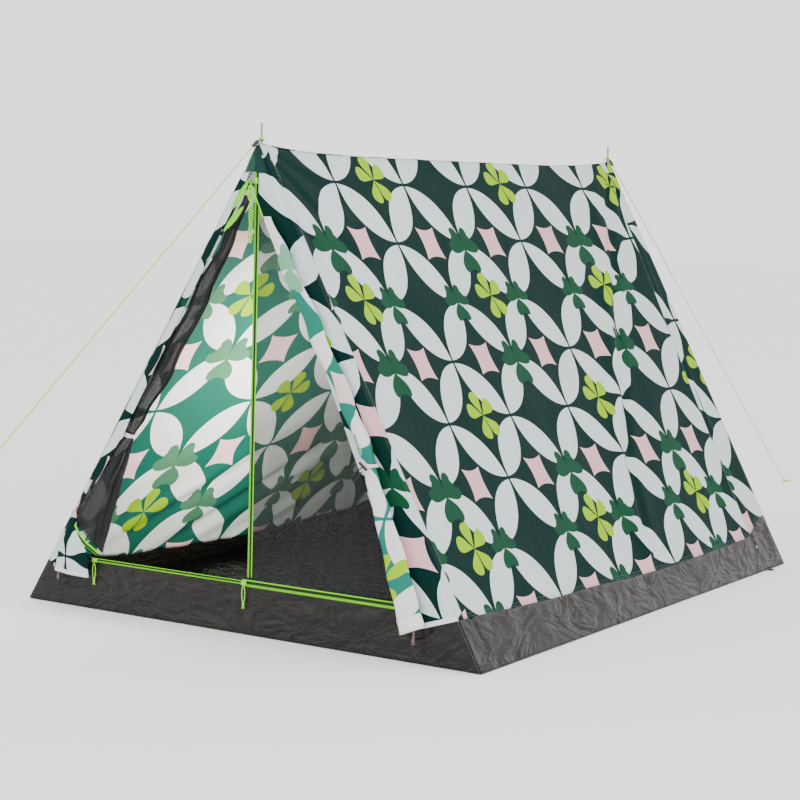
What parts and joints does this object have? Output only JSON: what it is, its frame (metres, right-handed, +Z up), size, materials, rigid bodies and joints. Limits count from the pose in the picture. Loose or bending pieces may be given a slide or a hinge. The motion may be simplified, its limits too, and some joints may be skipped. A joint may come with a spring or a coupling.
{
  "type": "A-frame tent",
  "caption": "A-frame two-person tent with slanted poles, printed walls, a bathtub floor, a half-open net door with lime zips, a rolled outer door and guy lines.",
  "frame": {"origin": "on the ground, at the middle of the tent's box without its guy lines", "axes": "+X to the tent's right-hand side seen from the door, +Y from the door to the back, +Z up"},
  "size_m": [1.5392, 5.5124, 1.348],
  "materials": {
    "printed_cloth": "coated polyester with a printed leaf lattice",
    "lining_cloth": "reverse of the printed polyester",
    "tub_cloth": "shiny coated groundsheet, crinkled",
    "mosquito_net": "fine black net",
    "zip_lime": "woven zip tape with a coil",
    "slider_metal": "enamelled zip slider",
    "pull_cord": "knotted cord",
    "guy_cord": "braided cord",
    "pole_steel": "powder-coated steel tube",
    "bare_steel": "plated steel",
    "elastic_cord": "braided elastic",
    "foot_rubber": "moulded rubber",
    "black_plastic": "moulded plastic",
    "black_webbing": "woven tape",
    "tie_cloth": "folded strip of the printed cloth"
  },
  "bodies": {
    "tent": {"front_left_lower_pole": "pole_steel", "front_left_upper_pole": "pole_steel", "front_left_pole_sleeve": "lining_cloth", "front_right_lower_pole": "pole_steel", "front_right_upper_pole": "pole_steel", "front_right_pole_sleeve": "lining_cloth", "front_apex_elbow": "pole_steel", "front_apex_spike": "bare_steel", "front_guy_line": "guy_cord", "front_guy_knot": "guy_cord", "front_guy_loop": "guy_cord", "rear_left_lower_pole": "pole_steel", "rear_left_upper_pole": "pole_steel", "rear_left_pole_sleeve": "lining_cloth", "rear_right_lower_pole": "pole_steel", "rear_right_upper_pole": "pole_steel", "rear_right_pole_sleeve": "lining_cloth", "rear_apex_elbow": "pole_steel", "rear_apex_spike": "bare_steel", "rear_guy_line": "guy_cord", "rear_guy_knot": "guy_cord", "rear_guy_loop": "guy_cord", "apex_tabs": "black_webbing", "pole_ferrules": "bare_steel", "shock_cords": "elastic_cord", "foot_caps": "foot_rubber", "door_elastics": "black_webbing", "left_wall": "printed_cloth", "right_wall": "printed_cloth", "rear_wall": "printed_cloth", "right_front_band": "printed_cloth", "left_front_band": "printed_cloth", "front_hood": "printed_cloth", "right_door_roll": "lining_cloth", "left_door_gather": "lining_cloth", "groundsheet_floor": "tub_cloth", "left_tub_wall": "tub_cloth", "right_tub_wall": "tub_cloth", "front_sill": "tub_cloth", "rear_tub_wall": "tub_cloth", "left_mesh_gather": "mosquito_net", "left_sill_zip_tape": "zip_lime", "right_sill_zip_tape": "zip_lime", "right_door_tie": "black_webbing", "left_mesh_tie": "tie_cloth", "rear_peg_loops": "black_webbing"},
    "mesh_door": {"right_mesh_door": "mosquito_net", "centre_zip_tape": "zip_lime"},
    "centre_slider": {"centre_zip_slider": "slider_metal"},
    "centre_pull": {"centre_zip_pull": "pull_cord"},
    "left_sill_slider": {"left_sill_zip_slider": "slider_metal"},
    "left_sill_pull": {"left_sill_zip_pull": "pull_cord"},
    "right_sill_slider": {"right_sill_zip_slider": "slider_metal"},
    "right_sill_pull": {"right_sill_zip_pull": "pull_cord"},
    "door_toggle": {"right_door_toggle": "black_plastic"},
    "right_hook": {"right_door_hook": "black_plastic"},
    "left_hook": {"left_door_hook": "black_plastic"},
    "front_runner": {"front_guy_runner": "black_plastic"},
    "rear_runner": {"rear_guy_runner": "black_plastic"}
  },
  "joints": [
    {"name": "mesh_door_swing", "type": "hinge", "parent": "tent", "child": "mesh_door", "pos_m": [0.63146, -1.00545, 0.15], "axis": [0.4994, -0.0366, -0.8656], "range_deg": [0, 75]},
    {"name": "centre_slider_run", "type": "slide", "parent": "mesh_door", "child": "centre_slider", "axis": [0.026, -0.0423, -0.9988], "range_m": [0, 1.01]},
    {"name": "centre_pull_swing", "type": "hinge", "parent": "centre_slider", "child": "centre_pull", "pos_m": [-0.00098, -0.98573, 1.1858], "axis": [-1, 0, 0], "range_deg": [0, 80]},
    {"name": "left_sill_slider_run", "type": "slide", "parent": "tent", "child": "left_sill_slider", "axis": [1, 0, 0], "range_m": [0, 0.49]},
    {"name": "left_sill_pull_swing", "type": "hinge", "parent": "left_sill_slider", "child": "left_sill_pull", "pos_m": [-0.505, -1.0181, 0.1284], "axis": [-1, 0, 0], "range_deg": [0, 80]},
    {"name": "right_sill_slider_run", "type": "slide", "parent": "tent", "child": "right_sill_slider", "axis": [1, 0, 0], "range_m": [0, 0.44]},
    {"name": "right_sill_pull_swing", "type": "hinge", "parent": "right_sill_slider", "child": "right_sill_pull", "pos_m": [0.015, -1.0181, 0.1284], "axis": [-1, 0, 0], "range_deg": [0, 80]},
    {"name": "door_toggle_turn", "type": "hinge", "parent": "tent", "child": "door_toggle", "pos_m": [0.4, -1.03784, 0.486], "axis": [0, 1, 0], "range_deg": [-90, 90]},
    {"name": "right_hook_swing", "type": "hinge", "parent": "tent", "child": "right_hook", "pos_m": [0.56, -1.03395, 0.0576], "axis": [0, 1, 0], "range_deg": [-30, 30]},
    {"name": "left_hook_swing", "type": "hinge", "parent": "tent", "child": "left_hook", "pos_m": [-0.628, -1.0281, 0.0776], "axis": [0, 1, 0], "range_deg": [-30, 30]},
    {"name": "front_runner_slide", "type": "slide", "parent": "tent", "child": "front_runner", "axis": [0, -0.7961, -0.6051], "range_m": [0, 0.4]},
    {"name": "rear_runner_slide", "type": "slide", "parent": "tent", "child": "rear_runner", "axis": [0, 0.7961, -0.6051], "range_m": [0, 0.4]}
  ]
}
